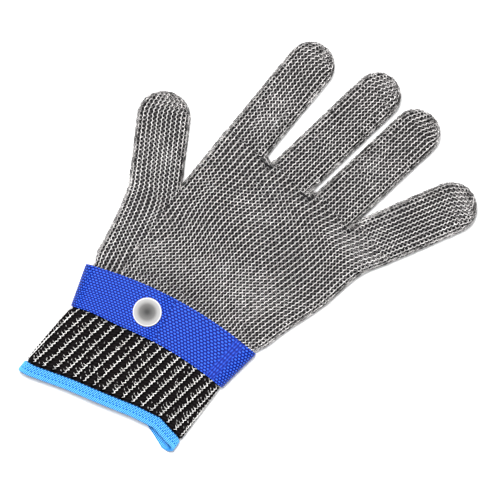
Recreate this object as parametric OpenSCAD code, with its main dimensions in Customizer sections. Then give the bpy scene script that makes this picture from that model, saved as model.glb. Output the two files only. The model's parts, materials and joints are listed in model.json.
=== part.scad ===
// Five-finger chain mail hand over a knitted liner glove, closed by a webbing wrist strap.
// X runs across the hand, +Y from the cuff to the fingertips and +Z up from the surface it lies on.
// The origin is under the middle of the wrist strap, on that surface. The palm side faces up.
// Fingers bend up out of that plane: each is a chain of sleeves that turn at mid-thickness.

/* [Hand] */
// Thickness of the hand lying flat
hand_t = 15; // [14:0.5:18]
// Radius of the rounded edge of the palm
edge_r = 6.5; // [6:0.5:6.5]
// Free space left at every joint
joint_gap = 0.5; // [0.4:0.1:0.8]

/* [Fabric] */
// Wall of the ring mail
mail_wall = 1.2; // [0.8:0.1:1.4]
// Wall of the knitted liner
liner_wall = 0.8; // [0.6:0.1:0.9]
// Space between the mail and the liner
fabric_gap = 0.1; // [0.05:0.05:0.2]

/* [Thumb] */
// Middle of the thumb's root joint
thumb_root = [-53.4, 55.4]; // [-80:0.1:80]
// Lean of the thumb away from +Y, positive towards +X
thumb_lean = -32.5; // [-40:0.5:-25]
// Half of the thumb's width
thumb_half = 15; // [13:0.1:16]
// Lengths of the two sleeves
thumb_lengths = [28, 28]; // [22:0.5:34]

/* [Index finger] */
// Middle of the root joint
index_root = [-28.5, 109]; // [-40:0.1:120]
// Lean of the finger away from +Y
index_lean = 0; // [-4:0.5:2]
// Half of the finger's width
index_half = 13.4; // [12:0.1:14]
// Lengths of the three sleeves
index_lengths = [26, 22, 24.5]; // [18:0.5:34]

/* [Middle finger] */
// Middle of the root joint
middle_root = [4.4, 109.5]; // [0:0.1:120]
// Lean of the finger away from +Y
middle_lean = 7; // [4:0.5:7]
// Half of the finger's width
middle_half = 13.1; // [12:0.1:13.5]
// Lengths of the three sleeves
middle_lengths = [31, 26, 26.6]; // [18:0.1:34]

/* [Ring finger] */
// Middle of the root joint
ring_root = [35.6, 111]; // [30:0.1:120]
// Lean of the finger away from +Y
ring_lean = 7.5; // [7:0.5:9]
// Half of the finger's width
ring_half = 13.5; // [12:0.1:14]
// Lengths of the three sleeves
ring_lengths = [29.5, 24.5, 25.8]; // [18:0.1:34]

/* [Little finger] */
// Middle of the root joint
little_root = [65.4, 112]; // [60:0.1:120]
// Lean of the finger away from +Y
little_lean = 27; // [24:0.5:30]
// Half of the finger's width
little_half = 14.4; // [13:0.1:14.6]
// Lengths of the three sleeves
little_lengths = [23.5, 19.5, 21.3]; // [16:0.1:30]
// Lean of the little finger's joints, which square up with the ring finger's
little_joint_lean = 13.5; // [10:0.5:16]

/* [Wrist strap] */
// Width of the webbing
strap_w = 28; // [24:1:30]
// Thickness of the webbing
strap_t = 1.6; // [1.2:0.1:1.8]
// Radius of the curve that the strap follows across the wrist
strap_bow = 234; // [200:1:300]
// Angle between the strap and X
strap_lean = 11.8; // [8:0.1:14]
// Middle of the strap
strap_mid = [-0.7, -1.3]; // [-5:0.1:5]
// Angle round the bow at which the upper end folds over
flap_fold = -11; // [-11.4:0.1:-10.5]
// Angle round the bow at which the upper end stops
flap_end = 0.35; // [0:0.05:1.5]
// Angle round the bow at which the lower end stops
underlap_end = -8.4; // [-9:0.1:-6]
// Angle round the bow at which the webbing is sewn down, first row
stitch_start = 9.6; // [9:0.1:10]
// Angle from the first row of stitches to the second
stitch_spacing = 1.4; // [1:0.1:1.5]
// Stitches in each row
stitch_count = 9; // [7:1:11]

/* [Snap fastener] */
// Angle round the bow to the snap
snap_angle = -2.4; // [-4:0.1:-2]
// Diameter of the cap
cap_d = 17; // [15:0.5:18]
// Height of the cap above the webbing
cap_h = 2.6; // [2:0.1:3.5]
// Diameter of the stud's head
stud_d = 6; // [5:0.1:6.5]
// Height of the stud's head above its flange
head_h = 1.1; // [0.8:0.1:1.2]
// Diameter of the flanges that clamp the webbing
flange_d = 10; // [8:0.5:11]
// Diameter of the socket
socket_d = 12; // [11:0.5:13]
// Diameter of the posts through the webbing
post_d = 3.4; // [3:0.1:4]

/* [Cuff] */
// Thickness of the knitted cuff lying flat
cuff_t = 13.6; // [12:0.1:14]
// Wall of the ribbed knit
cuff_wall = 1.7; // [1.2:0.1:2]
// Sides of the cuff at the strap, left and right
cuff_top_sides = [-47, 49.5]; // [-60:0.5:60]
// Sides of the cuff at its mouth, left and right
cuff_mouth_sides = [-47, 54]; // [-60:0.5:60]
// Where the mouth's edge crosses the Y axis
cuff_mouth_y = -66; // [-70:0.5:-60]
// Angle between the mouth's edge and X
cuff_mouth_lean = 16; // [10:0.5:18]
// Width of the edging round the mouth
hem_w = 7; // [5:0.5:9]
// How far the edging stands out from the knit
hem_proud = 0.7; // [0.3:0.1:0.7]
// Where the cuff's fold crosses the Y axis
cuff_fold_y = -27; // [-29:0.5:-26]
// Angle between the cuff's fold and X
cuff_fold_lean = 11; // [10:0.5:12]

/* [Bending] */
// Bend of a finger at its root
root_bend = 75; // [60:1:75]
// Bend of a finger at its middle joint
middle_bend = 80; // [60:1:80]
// Bend of a finger at its tip joint
tip_bend = 45; // [30:1:45]
// Bend of the thumb at its root
thumb_root_bend = 50; // [30:1:50]
// Bend of the thumb at its tip joint
thumb_tip_bend = 60; // [30:1:60]
// Bend of the cuff towards the palm
cuff_bend = 60; // [30:1:60]

/* [Hidden] */

STEEL = [0.62, 0.62, 0.62];
POLISHED = [0.8, 0.8, 0.8];
CHARCOAL = [0.1, 0.09, 0.1];
ROYAL_BLUE = [0.13, 0.28, 0.8];
SKY_BLUE = [0.3, 0.7, 0.95];

mid_z = hand_t / 2;
slab_t = hand_t - 2 * edge_r;
// Depths below the outer skin of the liner's outside and inside
liner_out = mail_wall + fabric_gap;
liner_in = liner_out + liner_wall;
// Facets round a half section, and round a plan curve
section_fn = 20;
plan_fn = 40;
bow_fn = 240;
// Distance from the corner of a lobe to the middle of its rounding, in edge radii
corner_step = 1.25;
// Larger than any part of the hand, for cutting
far = 60;
half_gap = joint_gap / 2;

// A finger: root, lean, lean of its joints, half width, sleeve lengths, bend at each joint
FINGER_BENDS = [root_bend, middle_bend, tip_bend];
THUMB = [thumb_root, thumb_lean, thumb_lean, thumb_half, thumb_lengths, [thumb_root_bend, thumb_tip_bend]];
INDEX = [index_root, index_lean, index_lean, index_half, index_lengths, FINGER_BENDS];
MIDDLE = [middle_root, middle_lean, middle_lean, middle_half, middle_lengths, FINGER_BENDS];
RING = [ring_root, ring_lean, ring_lean, ring_half, ring_lengths, FINGER_BENDS];
LITTLE = [little_root, little_lean, little_joint_lean, little_half, little_lengths, FINGER_BENDS];
ALL_FINGERS = [THUMB, INDEX, MIDDLE, RING, LITTLE];

function sum_to(list, count) = count == 0 ? 0 : list[count - 1] + sum_to(list, count - 1);
function heading(lean) = [sin(lean), cos(lean)];
// Step from a corner of a lobe into the lobe, one unit away from both sides of a square corner
function step_in(corner, middle) = (middle - corner) / norm(middle - corner) * corner_step;
function joint_at(finger, number) = finger[0] + sum_to(finger[4], number) * heading(finger[1]);

// Convex lobes that make up the hand seen from above, each by its corners
WRIST_LOBE = [[-47, -58], [-53.5, 0], [-58, 20], [56, 24], [53, 2], [51.5, -58]];
HEEL_LOBE = [[-53.5, 0], [-64.5, 40], [-42.5, 74], [69, 78], [53, 0]];
KNUCKLE_LOBE = [[-42, 56], [-41.9, 135], [60, 142], [90, 128], [69, 76], [62, 52]];
THUMB_LOBE = [[-58, 18], [-73.5, 59], [-48.3, 75.2], [-40.8, 63.4], [-30, 30]];
// The web between neighbouring fingers, and the space beside the outer ones
web_w = 4.2;
beside = 0.8;
// End of the hand beyond the roots of the fingers
knuckle_end = 121;
// Thicknesses in the snap: its flange, its eyelet, the stud's crown and the socket's roof
flange_t = 0.5;
eyelet_t = 0.6;
crown_t = 1;
socket_roof = 0.4;
fit = 0.1;
// Heights and radii shared by the parts of the strap and cuff
strap_top = hand_t;
flap_clear = 2.4;
flap_bottom = strap_top + flap_clear;
flap_top = flap_bottom + strap_t;
fold_z = (flap_bottom + flap_top) / 2;
wrist_r = edge_r - strap_t;
cuff_r = cuff_t / 2;
// Half the width of the lip inside the cuff's fold
cuff_lip_half = 38;
// Gap between fabrics that lie against each other
skin_gap = 0.02;

// A ball with its poles on the axis, so that its height is exactly twice its radius
module ball(r) {
    rotate_extrude($fn = section_fn)
        intersection() {
            circle(r, $fn = section_fn);
            translate([0, -r]) square(2 * r);
        }
}

// Section across a finger: flat above and below, round at the sides
module sleeve_section(half_w, inset) {
    hull()
        for (side = [-1, 1])
            translate([side * (half_w - mid_z), 0]) circle(mid_z - inset, $fn = section_fn);
}

// Everything beyond a joint, with the wedge above it that the bend closes
module beyond_joint(bend, left, right) {
    half = bend / 2;
    near = -half_gap / cos(half);
    rotate([90, 0, 90])
        translate([0, 0, -left])
            linear_extrude(left + right)
                polygon([
                    [near, -far], [near, 0], [near - far * tan(half), far], [2 * far, far], [2 * far, -far]
                ]);
}

module before_joint(bend, left, right) {
    mirror([0, 1, 0]) beyond_joint(bend, left, right);
}

// A lip that closes the wedge from inside and slides under the next sleeve's wall
module joint_lip(bend, inner_r, half_w) {
    lip_t = 0.7;
    lip_r = inner_r - 0.35;
    foot = 3;
    overlap = 0.2;
    start = -inner_r * tan(bend / 2) - 1.2;
    rotate([90, 0, 90])
        translate([0, 0, -half_w])
            linear_extrude(2 * half_w) {
                translate([start - foot, lip_r - lip_t]) square([foot, inner_r - lip_r + lip_t + overlap]);
                translate([start - 1, lip_r - lip_t]) square([1 - start, lip_t]);
                intersection() {
                    difference() {
                        circle(lip_r, $fn = plan_fn);
                        circle(lip_r - lip_t, $fn = plan_fn);
                    }
                    polygon([[-overlap, overlap], [-overlap, far], [far, far], [far, 0.8 * far]]);
                }
            }
}

module at_joint(finger, number) {
    point = joint_at(finger, number);
    translate([point.x, point.y, mid_z]) rotate(-finger[2]) children();
}

// A finger from before its root, as a solid smaller than its outer skin by inset
module finger_form(finger, inset, with_tip) {
    half_w = finger[3];
    reach = sum_to(finger[4], len(finger[4]));
    start = -20;
    translate([finger[0].x, finger[0].y, mid_z])
        rotate(-finger[1])
            if (with_tip)
                hull() {
                    finger_tube(half_w, inset, start, start + 1);
                    translate([0, reach - half_w, 0]) fingertip(half_w, inset);
                }
            else
                finger_tube(half_w, inset, start, reach);
}

module finger_tube(half_w, inset, start, end) {
    translate([0, start, 0])
        rotate([-90, 0, 0])
            linear_extrude(end - start) sleeve_section(half_w, inset);
}

// A disc with a round rim, whose far half closes the finger
module fingertip(half_w, inset) {
    rotate_extrude($fn = plan_fn)
        intersection() {
            translate([half_w - mid_z, 0]) circle(mid_z - inset, $fn = section_fn);
            translate([0, -mid_z]) square([half_w, hand_t]);
        }
}

// One sleeve of a finger, between two depths below the outer skin
module finger_sleeve(finger, number, outside, inside) {
    last = number == len(finger[4]) - 1;
    difference() {
        finger_form(finger, outside, last);
        finger_form(finger, inside, last);
        at_joint(finger, number) before_joint(finger[5][number], far, far);
        if (!last)
            at_joint(finger, number + 1) beyond_joint(finger[5][number + 1], far, far);
    }
}

// The lip that a sleeve of the liner, or the palm, holds under the next sleeve
module finger_lip(finger, number) {
    side_clear = 1.5;
    at_joint(finger, number)
        joint_lip(finger[5][number], mid_z - liner_in, finger[3] - mid_z - side_clear);
}

// The strap's own frame: origin at the centre of its bow, angles measured from +Y
module on_bow(angle, height) {
    translate([strap_mid.x, strap_mid.y, 0])
        rotate(strap_lean)
            translate([0, -strap_bow, 0])
                rotate(-angle)
                    translate([0, strap_bow, height]) children();
}

// Plan of a band that follows the strap's bow, from one radius to another
module bow_band(low, high) {
    translate(strap_mid)
        rotate(strap_lean)
            translate([0, -strap_bow])
                difference() {
                    circle(strap_bow + high, $fn = bow_fn);
                    if (strap_bow + low > 0) circle(strap_bow + low, $fn = bow_fn);
                }
}

// A lobe of the hand with its edge rounded by a ball, smaller than its outline by edge_r less the ball
module lobe_form(corners, r) {
    middle = [for (axis = [0, 1]) sum_to([for (corner = corners) corner[axis]], len(corners)) / len(corners)];
    hull()
        for (corner = corners)
            for (level = [-1, 1])
                translate([0, 0, mid_z + level * slab_t / 2])
                    translate(corner + edge_r * step_in(corner, middle)) ball(r);
}

// The strap's section of the hand
module wrist_form(r) {
    lobe_form(WRIST_LOBE, r);
}

// Hand and wrist as one solid, smaller than its outer skin by inset
module palm_form(inset) {
    wrist_form(wrist_r - inset);
    difference() {
        union() {
            lobe_form(HEEL_LOBE, edge_r - inset);
            lobe_form(KNUCKLE_LOBE, edge_r - inset);
            lobe_form(THUMB_LOBE, edge_r - inset);
        }
        translate([0, 0, -1]) linear_extrude(hand_t + 2) bow_band(-3 * far, strap_w / 2 + inset);
    }
}

// All that a finger's root joint must leave free in the hand, as far as the next finger
module root_beyond(finger) {
    reach = finger[3] + web_w;
    at_joint(finger, 0) beyond_joint(finger[5][0], reach, reach);
}

// The little finger's own lean carries its left side clear of the ring finger
module palm_cuts() {
    root_beyond(INDEX);
    root_beyond(MIDDLE);
    root_beyond(RING);
    at_joint(THUMB, 0) beyond_joint(thumb_root_bend, far / 2, thumb_half + beside);
    at_joint(LITTLE, 0) beyond_joint(root_bend, little_half + beside, far / 2);
    translate([-far, knuckle_end, 0]) cube([3 * far, far, hand_t]);
    translate([0, 0, -1]) linear_extrude(hand_t + 2) bow_band(-3 * far, -strap_w / 2);
}

module mail_palm() {
    color(STEEL)
        difference() {
            palm_form(0);
            palm_form(mail_wall);
            palm_cuts();
        }
}

module liner_palm() {
    color(CHARCOAL) {
        difference() {
            palm_form(liner_out);
            palm_form(liner_in);
            palm_cuts();
        }
        for (finger = ALL_FINGERS)
            finger_lip(finger, 0);
    }
}

// A wedge of the bow between two angles, above mid-thickness
module bow_wedge(from, to) {
    reach = strap_bow + strap_w;
    translate([strap_mid.x, strap_mid.y, mid_z])
        rotate(strap_lean)
            translate([0, -strap_bow, 0])
                linear_extrude(far)
                    polygon([[0, 0], reach * heading(from), reach * heading(to)]);
}

module strap_band() {
    color(ROYAL_BLUE)
        difference() {
            intersection() {
                wrist_form(edge_r);
                linear_extrude(hand_t) bow_band(-strap_w / 2, strap_w / 2);
            }
            wrist_form(wrist_r + skin_gap);
            bow_wedge(flap_fold - 0.4, underlap_end);
            on_bow(snap_angle, mid_z) cylinder(d = post_d + 2 * fit, h = hand_t, $fn = plan_fn);
            on_bow(snap_angle, strap_top - strap_t - 1)
                cylinder(d = flange_d + 2 * fit, h = eyelet_t + 1 + fit / 2, $fn = plan_fn);
        }
}

// Two rows of bar stitches where the webbing's end is sewn down, near the right side
module strap_stitching() {
    stitch_len = 1.9;
    stitch_r = 0.3;
    selvage = 2;
    pitch = (strap_w - 2 * selvage) / stitch_count;
    first = -pitch * (stitch_count - 1) / 2;
    color(ROYAL_BLUE)
        for (row = [0, 1])
            for (place = [0:stitch_count - 1])
                on_bow(stitch_start + row * stitch_spacing, strap_top + stitch_r)
                    translate([0, first + place * pitch, 0])
                        rotate([90, 0, 0])
                            cylinder(r = stitch_r, h = stitch_len, center = true, $fn = section_fn);
}

// The stud is hollow, and its crown is one millimetre thick
module snap_stud() {
    hollow_h = flange_t + head_h - crown_t;
    color(POLISHED)
        on_bow(snap_angle, strap_top)
            difference() {
                union() {
                    cylinder(d = flange_d, h = flange_t, $fn = plan_fn);
                    cylinder(d = stud_d, h = flange_t + head_h, $fn = plan_fn);
                }
                translate([0, 0, -1]) cylinder(d = post_d + fit, h = hollow_h + 1, $fn = plan_fn);
            }
}

// The eyelet's post holds the stud to the band
module snap_eyelet() {
    post_h = strap_t + flange_t + head_h - crown_t - 2 * fit;
    color(POLISHED)
        on_bow(snap_angle, strap_top - strap_t + fit) {
            cylinder(d = flange_d, h = eyelet_t - fit, $fn = plan_fn);
            cylinder(d = post_d, h = post_h, $fn = plan_fn);
        }
}

module strap_flap() {
    reach = strap_bow + strap_w;
    steps = 6;
    color(ROYAL_BLUE)
        difference() {
            translate([0, 0, flap_bottom])
                linear_extrude(strap_t)
                    intersection() {
                        bow_band(-strap_w / 2, strap_w / 2);
                        translate(strap_mid)
                            rotate(strap_lean)
                                translate([0, -strap_bow])
                                    polygon([
                                        [0, 0],
                                        for (step = [0:steps])
                                            reach * heading(flap_fold + step * (flap_end - flap_fold) / steps)
                                    ]);
                    }
            on_bow(snap_angle, 0) cylinder(d = post_d + 2 * fit, h = 2 * hand_t, $fn = plan_fn);
        }
}

// The cap: a rim rolled under, a shoulder and a shallow dimple. Its post holds the socket to the flap.
module snap_cap() {
    cap_r = cap_d / 2;
    rim_h = 0.8;
    roll = 0.6;
    shoulder = 2.2;
    dimple_r = 3.5;
    dimple_h = 0.6;
    color(POLISHED)
        on_bow(snap_angle, flap_top) {
            rotate_extrude($fn = 2 * plan_fn)
                polygon([
                    [0, 0], [cap_r - roll, 0], [cap_r, rim_h / 2], [cap_r - roll / 2, rim_h],
                    [cap_r - shoulder, cap_h - roll / 2], [dimple_r + roll, cap_h],
                    [dimple_r, cap_h - dimple_h / 3], [0, cap_h - dimple_h]
                ]);
            translate([0, 0, fit - strap_t - socket_roof])
                cylinder(d = post_d, h = strap_t + socket_roof, $fn = plan_fn);
        }
}

module snap_socket() {
    side_clear = 0.4;
    under = flange_t + 0.3;
    socket_h = flap_clear - under;
    color(POLISHED)
        on_bow(snap_angle, strap_top + under)
            difference() {
                cylinder(d = socket_d, h = socket_h, $fn = plan_fn);
                translate([0, 0, -1])
                    cylinder(d = stud_d + 2 * side_clear, h = socket_h - socket_roof + 1, $fn = plan_fn);
                cylinder(d = post_d + fit, h = 2 * socket_h, $fn = plan_fn);
            }
}

// The cuff as a solid from above the strap to below its mouth, smaller than its outside by inset
module cuff_form(inset) {
    past_mouth = 1.4 * cuff_mouth_y;
    stations = [[0, cuff_top_sides], [past_mouth, cuff_mouth_sides]];
    hull()
        for (station = stations)
            translate([0, station[0], mid_z])
                rotate([90, 0, 0])
                    linear_extrude(0.1)
                        hull()
                            for (side = [0, 1])
                                translate([station[1][side] + (1 - 2 * side) * cuff_r, 0])
                                    circle(cuff_r - inset, $fn = section_fn);
}

// A slab square to the cuff's mouth, from one distance above its edge to another
module mouth_slab(low, high) {
    translate([0, cuff_mouth_y, mid_z])
        rotate(cuff_mouth_lean)
            translate([-2 * far, low, -far]) cube([4 * far, high - low, 2 * far]);
}

module at_cuff_fold() {
    translate([0, cuff_fold_y, mid_z]) rotate(180 + cuff_fold_lean) children();
}

// The part of the cuff that the strap holds still
module cuff_root() {
    color(CHARCOAL) {
        difference() {
            cuff_form(0);
            cuff_form(cuff_wall);
            linear_extrude(hand_t) bow_band(-strap_w / 2 - 2 * skin_gap, 3 * far);
            at_cuff_fold() beyond_joint(cuff_bend, 2 * far, 2 * far);
        }
        at_cuff_fold()
            joint_lip(cuff_bend, cuff_r - cuff_wall, cuff_lip_half);
    }
}

module cuff_knit() {
    color(CHARCOAL)
        difference() {
            cuff_form(0);
            cuff_form(cuff_wall);
            at_cuff_fold() before_joint(cuff_bend, 2 * far, 2 * far);
            mouth_slab(-far, hem_w);
        }
}

module cuff_hem() {
    color(SKY_BLUE)
        intersection() {
            difference() {
                cuff_form(-hem_proud);
                cuff_form(cuff_wall + hem_proud);
            }
            mouth_slab(0, hem_w);
        }
}

module mail_sleeve(finger, number) {
    color(STEEL) finger_sleeve(finger, number, 0, mail_wall);
}

module liner_sleeve(finger, number) {
    color(CHARCOAL) {
        finger_sleeve(finger, number, liner_out, liner_in);
        if (number < len(finger[4]) - 1) finger_lip(finger, number + 1);
    }
}

mail_palm();
liner_palm();
strap_band();
strap_stitching();
snap_stud();
snap_eyelet();
cuff_root();
strap_flap();
snap_cap();
snap_socket();
cuff_knit();
cuff_hem();
mail_sleeve(THUMB, 0);  // mail_thumb_base
mail_sleeve(THUMB, 1);  // mail_thumb_tip
liner_sleeve(THUMB, 0);  // liner_thumb_base
liner_sleeve(THUMB, 1);  // liner_thumb_tip
mail_sleeve(INDEX, 0);  // mail_index_base
mail_sleeve(INDEX, 1);  // mail_index_middle
mail_sleeve(INDEX, 2);  // mail_index_tip
liner_sleeve(INDEX, 0);  // liner_index_base
liner_sleeve(INDEX, 1);  // liner_index_middle
liner_sleeve(INDEX, 2);  // liner_index_tip
mail_sleeve(MIDDLE, 0);  // mail_middle_base
mail_sleeve(MIDDLE, 1);  // mail_middle_middle
mail_sleeve(MIDDLE, 2);  // mail_middle_tip
liner_sleeve(MIDDLE, 0);  // liner_middle_base
liner_sleeve(MIDDLE, 1);  // liner_middle_middle
liner_sleeve(MIDDLE, 2);  // liner_middle_tip
mail_sleeve(RING, 0);  // mail_ring_base
mail_sleeve(RING, 1);  // mail_ring_middle
mail_sleeve(RING, 2);  // mail_ring_tip
liner_sleeve(RING, 0);  // liner_ring_base
liner_sleeve(RING, 1);  // liner_ring_middle
liner_sleeve(RING, 2);  // liner_ring_tip
mail_sleeve(LITTLE, 0);  // mail_little_base
mail_sleeve(LITTLE, 1);  // mail_little_middle
mail_sleeve(LITTLE, 2);  // mail_little_tip
liner_sleeve(LITTLE, 0);  // liner_little_base
liner_sleeve(LITTLE, 1);  // liner_little_middle
liner_sleeve(LITTLE, 2);  // liner_little_tip
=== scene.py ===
import json
import math

import bpy
import numpy as np
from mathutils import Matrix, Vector


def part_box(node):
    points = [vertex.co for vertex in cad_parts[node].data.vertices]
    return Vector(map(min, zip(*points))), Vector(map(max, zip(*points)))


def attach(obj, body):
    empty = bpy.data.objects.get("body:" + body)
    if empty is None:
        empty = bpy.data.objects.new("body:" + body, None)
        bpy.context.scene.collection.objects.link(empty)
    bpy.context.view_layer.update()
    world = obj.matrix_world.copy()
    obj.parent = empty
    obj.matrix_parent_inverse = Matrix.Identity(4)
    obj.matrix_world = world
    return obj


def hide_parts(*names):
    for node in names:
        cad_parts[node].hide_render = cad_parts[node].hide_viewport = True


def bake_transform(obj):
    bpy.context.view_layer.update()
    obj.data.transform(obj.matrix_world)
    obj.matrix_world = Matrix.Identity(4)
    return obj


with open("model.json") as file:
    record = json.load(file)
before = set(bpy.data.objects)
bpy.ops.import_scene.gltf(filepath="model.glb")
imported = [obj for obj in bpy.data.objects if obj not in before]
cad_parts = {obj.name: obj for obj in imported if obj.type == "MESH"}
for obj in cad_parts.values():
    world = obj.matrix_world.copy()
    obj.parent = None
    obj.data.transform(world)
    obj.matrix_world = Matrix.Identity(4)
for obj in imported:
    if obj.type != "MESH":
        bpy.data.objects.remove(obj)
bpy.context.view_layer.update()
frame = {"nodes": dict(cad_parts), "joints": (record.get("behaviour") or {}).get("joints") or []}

# The chain mail glove: welded rings over a black liner, a webbing strap, a ribbed cuff.
# Lengths below are in millimetres, in the frame's axes, and MM turns them into metres.
MM = 0.001
RNG = np.random.default_rng(11)

# Hand: its middle height, the radius of its rounded edge, and how far the palm is crowned
MID_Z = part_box("mail_index_base")[1].z / MM / 2
EDGE_R = MID_Z
CROWN = 2.0
# Rings: outside diameter and wire, the pitch along a column and from column to column, and the mesh
# of one ring, as segments round it and sides round its wire
RING_OD = 2.6
WIRE = 0.34
PITCH_ALONG = 2.5
PITCH_ACROSS = 1.37
RING_SEGMENTS = 12
WIRE_SIDES = 4
RING_LEAN = math.radians(35)
RIM_COLUMNS = 17
# Play of a ring's lean and spin in radians and of its place, and how unevenly rings are worn
LEAN_PLAY = 0.1
PLACE_PLAY = 0.05
WEAR = 0.07
# How much more unevenly where the mesh stands on edge, and the painted shade of the deepest wire, the lowest
# part of each ring in the mesh
EDGE_WEAR = 5
DEEP_SHADE_TONE = 0.12
# Columns left of the palm's first one, columns of the thumb's strip past its flat, and its rows
LEFT_COLUMNS = 6
SEAM_COLUMNS = 9
HEEL_ROWS = 38
# How far up and down the rims between the fingers go before the palm's columns take over
WEB_TURN = 0.75
# Painted shade on the rims: how bright the rings are painted where the mesh stands on edge, next to those
# lying flat
EDGE_SHADE_TONE = 0.3
# Liner, as a depth below the mail's middle surface
LINER_DEPTH = 0.75
# Share of the hand's thickness that the strap takes up
STRAP_PRESS = 0.3


# ---------------------------------------------------------------- materials

def new_material(name, metallic=0.0, roughness=0.6, base=(0.5, 0.5, 0.5)):
    """A material, its node tree and its Principled shader."""
    material = bpy.data.materials.new(name)
    material.use_nodes = True
    shader = material.node_tree.nodes["Principled BSDF"]
    shader.inputs["Metallic"].default_value = metallic
    shader.inputs["Roughness"].default_value = roughness
    shader.inputs["Base Color"].default_value = (*base, 1)
    return material, material.node_tree, shader


def noise(tree, scale, detail=3.0):
    """A noise texture in object coordinates, whose scale is in features per metre."""
    coordinates = tree.nodes.new("ShaderNodeTexCoord")
    texture = tree.nodes.new("ShaderNodeTexNoise")
    texture.inputs["Scale"].default_value = scale
    texture.inputs["Detail"].default_value = detail
    texture.inputs["Roughness"].default_value = 0.55
    tree.links.new(coordinates.outputs["Object"], texture.inputs["Vector"])
    return texture.outputs["Fac"]


def ramp(tree, factor, stops, socket):
    """Colours a socket by a factor, through (place, colour) stops."""
    node = tree.nodes.new("ShaderNodeValToRGB")
    elements = node.color_ramp.elements
    while len(elements) < len(stops):
        elements.new(0.5)
    for element, (place, colour) in zip(elements, stops):
        element.position = place
        element.color = (*colour, 1)
    tree.links.new(factor, node.inputs["Fac"])
    tree.links.new(node.outputs["Color"], socket)


def spread(tree, factor, low, high, socket):
    """Maps a factor from 0 to 1 onto a socket between two values."""
    node = tree.nodes.new("ShaderNodeMapRange")
    node.inputs["To Min"].default_value = low
    node.inputs["To Max"].default_value = high
    tree.links.new(factor, node.inputs["Value"])
    tree.links.new(node.outputs["Result"], socket)


def bump(tree, factor, distance, strength, shader):
    node = tree.nodes.new("ShaderNodeBump")
    node.inputs["Distance"].default_value = distance
    node.inputs["Strength"].default_value = strength
    tree.links.new(factor, node.inputs["Height"])
    tree.links.new(node.outputs["Normal"], shader.inputs["Normal"])


def painted_light_attribute(tree):
    """The painted light, following the relief, that the mesh carries at each vertex."""
    node = tree.nodes.new("ShaderNodeAttribute")
    node.attribute_name = "relief_and_painted_light"
    return node.outputs["Fac"]


def uneven_painted_light(tree, scale, share):
    """The mesh's painted light with a share of noise on top."""
    mix = tree.nodes.new("ShaderNodeMath")
    mix.operation = "MULTIPLY_ADD"
    mix.inputs[1].default_value = share
    tree.links.new(noise(tree, scale), mix.inputs[0])
    tree.links.new(painted_light_attribute(tree), mix.inputs[2])
    return mix.outputs["Value"]


def steel_material():
    """Drawn steel wire, with a painted highlight on the tops of the rings and painted shade deep in the mesh
    and on its edges, and a little random unevenness.
    """
    material, tree, shader = new_material("ring_steel", metallic=0.6)
    ramp(tree, uneven_painted_light(tree, 420, 0.25), [
        (0.15, (0.006, 0.006, 0.006)), (0.4, (0.12, 0.113, 0.112)),
        (0.7, (0.42, 0.4, 0.395)), (1.0, (0.93, 0.9, 0.89))
    ], shader.inputs["Base Color"])
    spread(tree, noise(tree, 600), 0.3, 0.45, shader.inputs["Roughness"])
    return material


def liner_material():
    material, tree, shader = new_material("liner_knit", roughness=0.95)
    ramp(tree, noise(tree, 900), [(0.35, (0.006, 0.006, 0.007)), (0.7, (0.02, 0.019, 0.02))],
         shader.inputs["Base Color"])
    shader.inputs["Specular IOR Level"].default_value = 0.15
    bump(tree, noise(tree, 1500), 0.0003, 0.6, shader)
    return material


def thread_material(name, stops, roughness=0.55, sheen=0.1):
    """A yarn whose colour follows the painted light that the mesh carries, painted shade in its hollows and
    a painted highlight on its tops, with a little unevenness.
    """
    material, tree, shader = new_material(name, roughness=roughness)
    ramp(tree, uneven_painted_light(tree, 700, 0.22), stops, shader.inputs["Base Color"])
    shader.inputs["Specular IOR Level"].default_value = sheen
    bump(tree, noise(tree, 2500, 2), 0.0001, 0.5, shader)
    return material


def silver_yarn_material():
    material, tree, shader = new_material("silver_yarn", metallic=0.1)
    ramp(tree, noise(tree, 500), [(0.35, (0.3, 0.29, 0.28)), (0.55, (1.0, 0.98, 0.96))],
         shader.inputs["Base Color"])
    spread(tree, noise(tree, 900), 0.3, 0.5, shader.inputs["Roughness"])
    return material


def snap_material(name, stops, metallic, shine):
    """Satin nickel, whose colour follows the painted light that the cap carries: painted shade in its
    middle, a painted highlight at its rim.
    """
    material, tree, shader = new_material(name, metallic=metallic)
    ramp(tree, painted_light_attribute(tree), stops, shader.inputs["Base Color"])
    spread(tree, noise(tree, 300), 0.42, 0.5, shader.inputs["Roughness"])
    shader.inputs["Specular IOR Level"].default_value = shine
    return material


STEEL = steel_material()
LINER = liner_material()
# Painted light in the weave: painted shade, dark navy, in its hollows, and a painted highlight, bright blue,
# on its floats
WEBBING = thread_material("webbing", [
    (0.3, (0.0006, 0.003, 0.09)), (0.65, (0.003, 0.02, 0.27)), (1.0, (0.035, 0.13, 0.75))
])
BLUE_THREAD = thread_material("blue_thread", [(0.0, (0.004, 0.02, 0.3)), (1.0, (0.02, 0.07, 0.5))])
# Painted shade in the overlock's pits and hollows and a painted highlight on its ridges
HEM = thread_material("overlock", [
    (0.25, (0.002, 0.04, 0.22)), (0.7, (0.02, 0.28, 0.76)), (1.0, (0.17, 0.54, 0.98))
], 0.7)
# Painted shade in the knit's valleys, a little lighter on its lumps
CUFF_YARN = thread_material("cuff_yarn", [
    (0.2, (0.0003, 0.0003, 0.0003)), (0.8, (0.003, 0.0025, 0.0027)), (1.0, (0.009, 0.0075, 0.008))
], 0.9, 0.03)
SILVER_YARN = silver_yarn_material()
# Painted shade in the cap's middle and a painted highlight at its rim
NICKEL = snap_material("satin_nickel", [
    (0.0, (0.035, 0.035, 0.035)), (0.42, (0.135, 0.132, 0.13)),
    (0.7, (0.37, 0.366, 0.362)), (1.0, (0.8, 0.79, 0.78))
], 0.0, 0.08)
PLAIN_NICKEL = snap_material("plain_nickel", [(0.0, (0.4, 0.39, 0.38)), (1.0, (0.5, 0.49, 0.47))], 0.8, 0.5)


# ---------------------------------------------------------------- mesh helpers

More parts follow.
